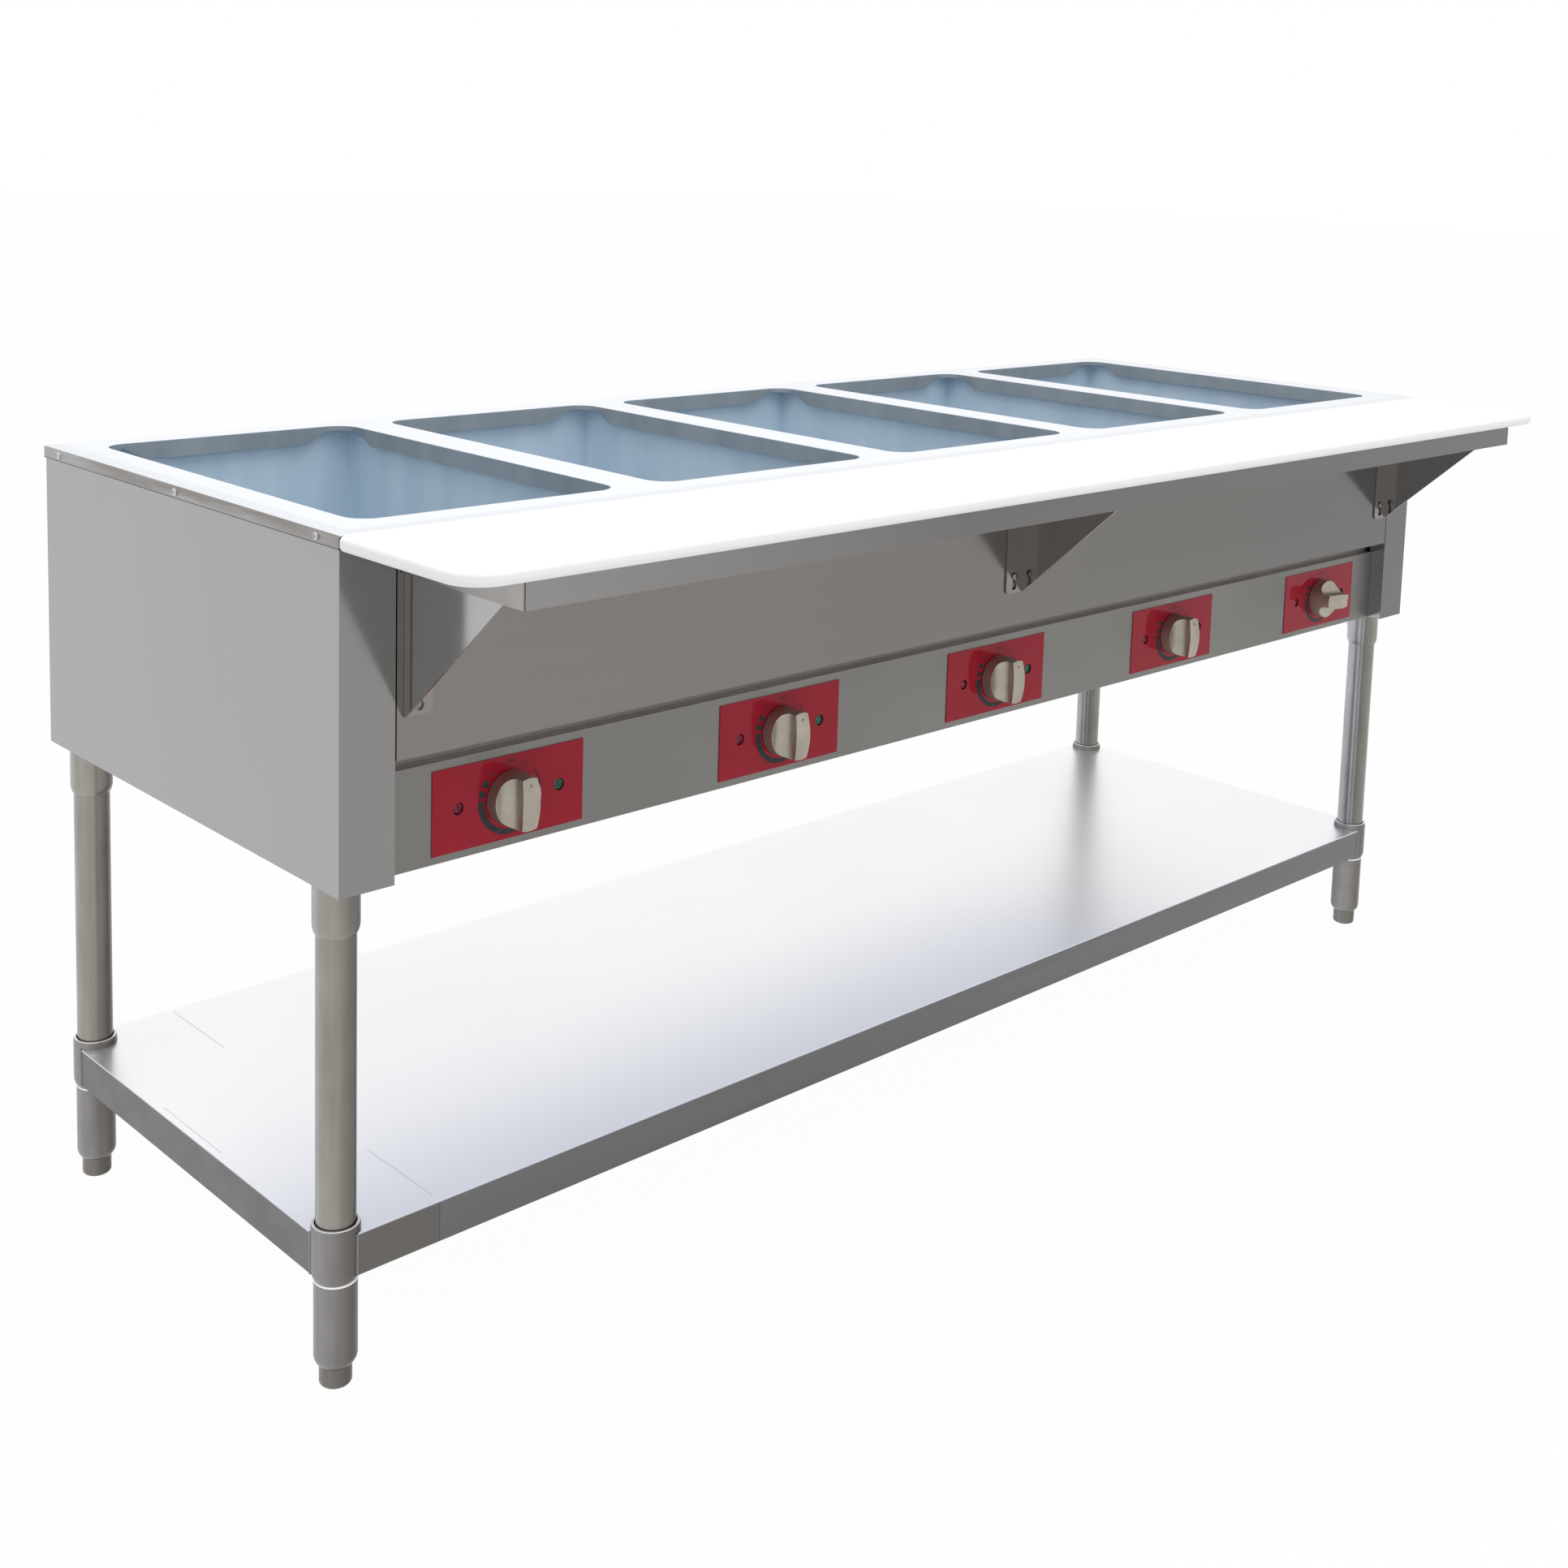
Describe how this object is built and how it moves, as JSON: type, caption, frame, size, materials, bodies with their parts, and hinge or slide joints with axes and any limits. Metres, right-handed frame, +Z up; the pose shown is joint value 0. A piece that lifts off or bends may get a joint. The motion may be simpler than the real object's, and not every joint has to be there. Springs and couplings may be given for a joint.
{
  "type": "steam table",
  "caption": "Floor-standing electric steam table: open heated wells in a steel deck, dial controls, a hung cutting-board shelf, tubular legs and an undershelf.",
  "frame": {"origin": "on the floor, under the middle of the table's bounding box, with the feet screwed in", "axes": "+X along the table to the right of a person at the dials, +Y from the dials to the back, +Z up"},
  "size_m": [1.8324, 0.806, 0.825],
  "materials": {
    "deck_steel": "brushed, bright",
    "panel_steel": "brushed",
    "front_steel": "brushed",
    "liner_steel": "galvanised, cool blue-grey",
    "element_sheath": "dull sheathed tube",
    "support_steel": "mill finish",
    "mineral_wool": "loose fibre slab",
    "switch_plastic": "moulded",
    "shaft_steel": "turned",
    "knob_metal": "satin nickel",
    "dial_paint": "printed crimson, satin",
    "holder_plastic": "moulded",
    "lens_red": "tinted, unlit",
    "lens_green": "tinted, unlit",
    "board_plastic": "fine-grained white",
    "fastener_steel": "plain",
    "tube_steel": "brushed along the tube",
    "foot_steel": "dull",
    "shelf_steel": "brushed, bright",
    "terminal_ceramic": "unglazed",
    "wire_rubber": "sheathed wire",
    "gland_plastic": "moulded"
  },
  "bodies": {
    "table": {"top_sheet": "deck_steel", "left_end_panel": "panel_steel", "right_end_panel": "panel_steel", "back_panel": "panel_steel", "bottom_pan": "panel_steel", "front_fascia": "front_steel", "control_panel": "front_steel", "well_liner_1": "liner_steel", "well_liner_2": "liner_steel", "well_liner_3": "liner_steel", "well_liner_4": "liner_steel", "well_liner_5": "liner_steel", "heating_element_1": "element_sheath", "heating_element_2": "element_sheath", "heating_element_3": "element_sheath", "heating_element_4": "element_sheath", "heating_element_5": "element_sheath", "element_supports": "support_steel", "well_insulation": "mineral_wool", "heat_switch_1": "switch_plastic", "heat_switch_2": "switch_plastic", "heat_switch_3": "switch_plastic", "heat_switch_4": "switch_plastic", "heat_switch_5": "switch_plastic", "dial_plates": "dial_paint", "lamp_holders": "holder_plastic", "red_lenses": "lens_red", "green_lenses": "lens_green", "hanging_screws": "fastener_steel", "deck_screws": "fastener_steel", "clamp_screws": "fastener_steel", "leg_sockets": "tube_steel", "leg_tubes": "tube_steel", "leg_sleeves": "tube_steel", "shelf_collars": "tube_steel", "undershelf": "shelf_steel", "shelf_channel": "shelf_steel", "terminal_block": "terminal_ceramic", "wiring_trunk": "wire_rubber", "cord_gland": "gland_plastic"},
    "dial_1": {"knob_1": "knob_metal", "control_shaft_1": "shaft_steel"},
    "dial_2": {"knob_2": "knob_metal", "control_shaft_2": "shaft_steel"},
    "dial_3": {"knob_3": "knob_metal", "control_shaft_3": "shaft_steel"},
    "dial_4": {"knob_4": "knob_metal", "control_shaft_4": "shaft_steel"},
    "dial_5": {"knob_5": "knob_metal", "control_shaft_5": "shaft_steel"},
    "levelling_foot_front_left": {"foot_front_left": "foot_steel"},
    "levelling_foot_front_right": {"foot_front_right": "foot_steel"},
    "levelling_foot_back_left": {"foot_back_left": "foot_steel"},
    "levelling_foot_back_right": {"foot_back_right": "foot_steel"},
    "hung_shelf": {"work_shelf": "front_steel", "cutting_board": "board_plastic", "board_screws": "fastener_steel", "left_bracket": "front_steel", "middle_bracket": "front_steel", "right_bracket": "front_steel"}
  },
  "joints": [
    {"name": "dial_1_turn", "type": "hinge", "parent": "table", "child": "dial_1", "pos_m": [-0.714, -0.1855, 0.543], "axis": [0, 1, 0], "range_deg": [0, 300]},
    {"name": "dial_2_turn", "type": "hinge", "parent": "table", "child": "dial_2", "pos_m": [-0.357, -0.1855, 0.543], "axis": [0, 1, 0], "range_deg": [0, 300]},
    {"name": "dial_3_turn", "type": "hinge", "parent": "table", "child": "dial_3", "pos_m": [0, -0.1855, 0.543], "axis": [0, 1, 0], "range_deg": [0, 300]},
    {"name": "dial_4_turn", "type": "hinge", "parent": "table", "child": "dial_4", "pos_m": [0.357, -0.1855, 0.543], "axis": [0, 1, 0], "range_deg": [0, 300]},
    {"name": "dial_5_turn", "type": "hinge", "parent": "table", "child": "dial_5", "pos_m": [0.714, -0.1855, 0.543], "axis": [0, 1, 0], "range_deg": [-95, 205]},
    {"name": "foot_front_left_level", "type": "slide", "parent": "table", "child": "levelling_foot_front_left", "axis": [0, 0, -1], "range_m": [0, 0.025]},
    {"name": "foot_front_right_level", "type": "slide", "parent": "table", "child": "levelling_foot_front_right", "axis": [0, 0, -1], "range_m": [0, 0.025]},
    {"name": "foot_back_left_level", "type": "slide", "parent": "table", "child": "levelling_foot_back_left", "axis": [0, 0, -1], "range_m": [0, 0.025]},
    {"name": "foot_back_right_level", "type": "slide", "parent": "table", "child": "levelling_foot_back_right", "axis": [0, 0, -1], "range_m": [0, 0.025]},
    {"name": "shelf_unhook", "type": "slide", "parent": "table", "child": "hung_shelf", "axis": [0, 0, 1], "range_m": [0, 0.0125]}
  ]
}
